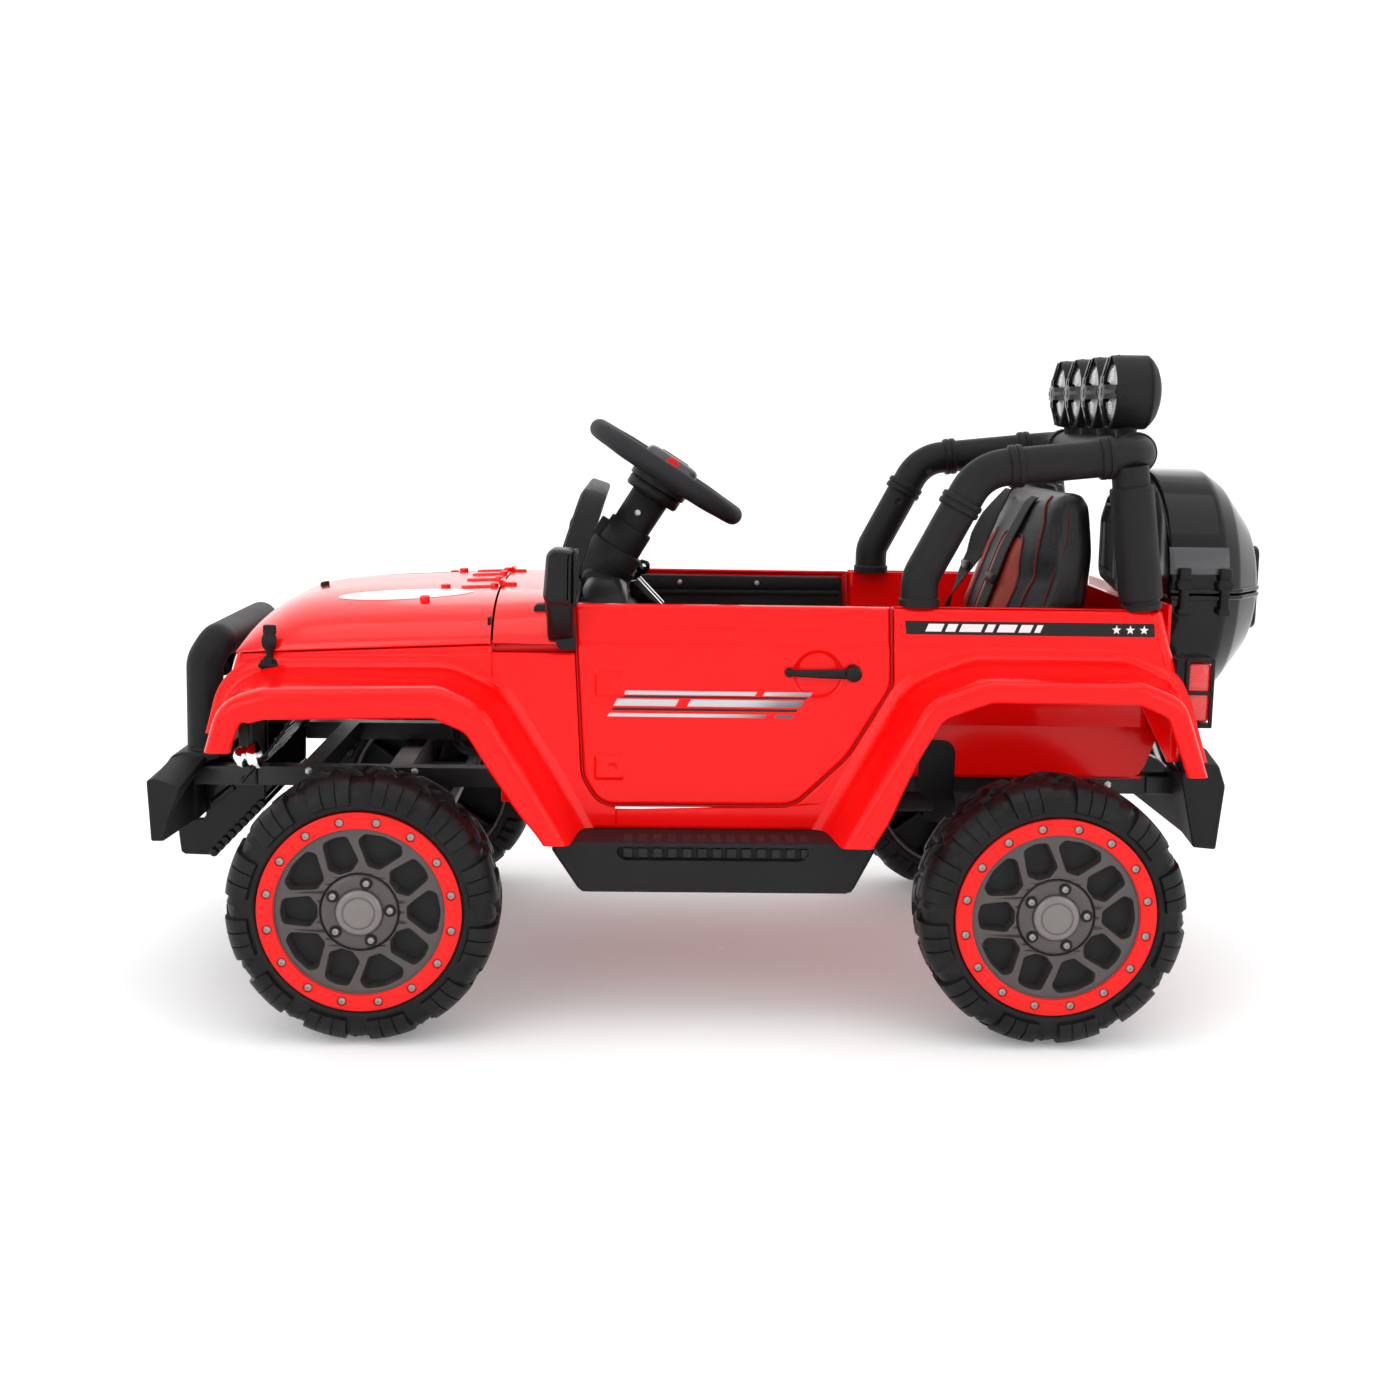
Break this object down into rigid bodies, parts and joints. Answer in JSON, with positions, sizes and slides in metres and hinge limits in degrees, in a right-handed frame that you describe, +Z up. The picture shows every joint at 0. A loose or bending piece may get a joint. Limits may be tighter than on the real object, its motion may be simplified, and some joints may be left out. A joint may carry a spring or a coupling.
{
  "type": "child's battery ride-on off-road 4x4",
  "caption": "Child's ride-on off-road vehicle with an open tub, opening doors, hood and spare-wheel case, steered front wheels, roll bar and lamps.",
  "frame": {"origin": "on the floor, under the middle of the whole outline", "axes": "+Z up, nose towards -Y, the vehicle's left side towards +X; +Y is the long axis"},
  "size_m": [0.676, 1.178, 0.673],
  "materials": {
    "steel_black": "satin",
    "steel_bright": "satin",
    "red_plastic": "gloss",
    "ring_red": "satin",
    "black_plastic": "matte",
    "black_gloss": "gloss",
    "grey_rim": "satin metallic grey",
    "tyre_black": "matte",
    "clear_lens": "clear",
    "red_lens": "gloss",
    "seat_leather": "grained",
    "webbing": "woven"
  },
  "bodies": {
    "body": {"bar_panels": "black_plastic", "battery": "black_plastic", "body_shell": "red_plastic", "bull_bar": "black_plastic", "chassis": "steel_black", "dashboard": "black_plastic", "front_beam": "steel_black", "front_bumper": "black_plastic", "grille_panel": "red_plastic", "head_lamps": "clear_lens", "mirrors": "black_plastic", "rear_axle": "steel_bright", "rear_bumper": "black_plastic", "rear_gearboxes": "black_plastic", "roll_bar": "black_plastic", "roof_lamps": "black_gloss", "roof_lenses": "clear_lens", "seat_back": "seat_leather", "seat_belts": "webbing", "seat_cushion": "seat_leather", "seat_shell": "black_plastic", "side_steps": "black_plastic", "skid_plate": "black_plastic", "spare_case_base": "black_gloss", "tail_lamps": "red_lens", "windscreen_frame": "black_plastic"},
    "hood": {"hood": "red_plastic", "hood_latches": "black_plastic"},
    "door_left": {"door_left": "red_plastic", "door_trim_left": "black_plastic", "door_handle_left": "black_plastic"},
    "door_right": {"door_right": "red_plastic", "door_trim_right": "black_plastic", "door_handle_right": "black_plastic"},
    "spare_lid": {"spare_case_lid": "black_gloss", "case_latches": "black_plastic"},
    "steering": {"steering_wheel": "black_plastic"},
    "knuckle_left": {"knuckle_left": "steel_bright", "front_gearbox_left": "black_plastic"},
    "knuckle_right": {"knuckle_right": "steel_bright", "front_gearbox_right": "black_plastic"},
    "tie_rod": {"tie_rod": "steel_bright"},
    "wheel_front_left": {"tyre_front_left": "tyre_black", "rim_front_left": "grey_rim", "bead_ring_front_left": "ring_red"},
    "wheel_front_right": {"tyre_front_right": "tyre_black", "rim_front_right": "grey_rim", "bead_ring_front_right": "ring_red"},
    "wheel_rear_left": {"tyre_rear_left": "tyre_black", "rim_rear_left": "grey_rim", "bead_ring_rear_left": "ring_red"},
    "wheel_rear_right": {"tyre_rear_right": "tyre_black", "rim_rear_right": "grey_rim", "bead_ring_rear_right": "ring_red"}
  },
  "joints": [
    {"name": "steering_wheel_turn", "type": "hinge", "parent": "body", "child": "steering", "pos_m": [0, -0.0695, 0.5425], "axis": [0, 0.5299, 0.848], "range_deg": [-50, 50]},
    {"name": "knuckle_left_turn", "type": "hinge", "parent": "body", "child": "knuckle_left", "pos_m": [0.193, -0.3605, 0.197], "axis": [0, 0, 1], "range_deg": [-25, 25]},
    {"name": "knuckle_right_turn", "type": "hinge", "parent": "body", "child": "knuckle_right", "pos_m": [-0.193, -0.3605, 0.197], "axis": [0, 0, 1], "range_deg": [-25, 25]},
    {"name": "tie_rod_turn", "type": "hinge", "parent": "knuckle_left", "child": "tie_rod", "pos_m": [0.193, -0.3005, 0.182], "axis": [0, 0, 1], "range_deg": [-25, 25]},
    {"name": "wheel_front_left_spin", "type": "hinge", "parent": "knuckle_left", "child": "wheel_front_left", "pos_m": [0.292, -0.3605, 0.132], "axis": [1, 0, 0], "continuous": true},
    {"name": "wheel_front_right_spin", "type": "hinge", "parent": "knuckle_right", "child": "wheel_front_right", "pos_m": [-0.292, -0.3605, 0.132], "axis": [1, 0, 0], "continuous": true},
    {"name": "wheel_rear_left_spin", "type": "hinge", "parent": "body", "child": "wheel_rear_left", "pos_m": [0.292, 0.3085, 0.132], "axis": [1, 0, 0], "continuous": true},
    {"name": "wheel_rear_right_spin", "type": "hinge", "parent": "body", "child": "wheel_rear_right", "pos_m": [-0.292, 0.3085, 0.132], "axis": [1, 0, 0], "continuous": true},
    {"name": "door_left_swing", "type": "hinge", "parent": "body", "child": "door_left", "pos_m": [0.2216, -0.156, 0.32], "axis": [0, 0, -1], "range_deg": [0, 60]},
    {"name": "door_right_swing", "type": "hinge", "parent": "body", "child": "door_right", "pos_m": [-0.2216, -0.156, 0.32], "axis": [0, 0, 1], "range_deg": [0, 60]},
    {"name": "hood_lift", "type": "hinge", "parent": "body", "child": "hood", "pos_m": [0, -0.2435, 0.427], "axis": [-1, 0, 0], "range_deg": [0, 60]},
    {"name": "spare_lid_lift", "type": "hinge", "parent": "body", "child": "spare_lid", "pos_m": [-0.132, 0.5, 0.427], "axis": [0, -1, 0], "range_deg": [0, 100]}
  ],
  "couplings": [
    {"joint": "knuckle_left_turn", "follows": "steering_wheel_turn", "ratio": 0.5},
    {"joint": "knuckle_right_turn", "follows": "steering_wheel_turn", "ratio": 0.5},
    {"joint": "tie_rod_turn", "follows": "steering_wheel_turn", "ratio": -0.5}
  ]
}
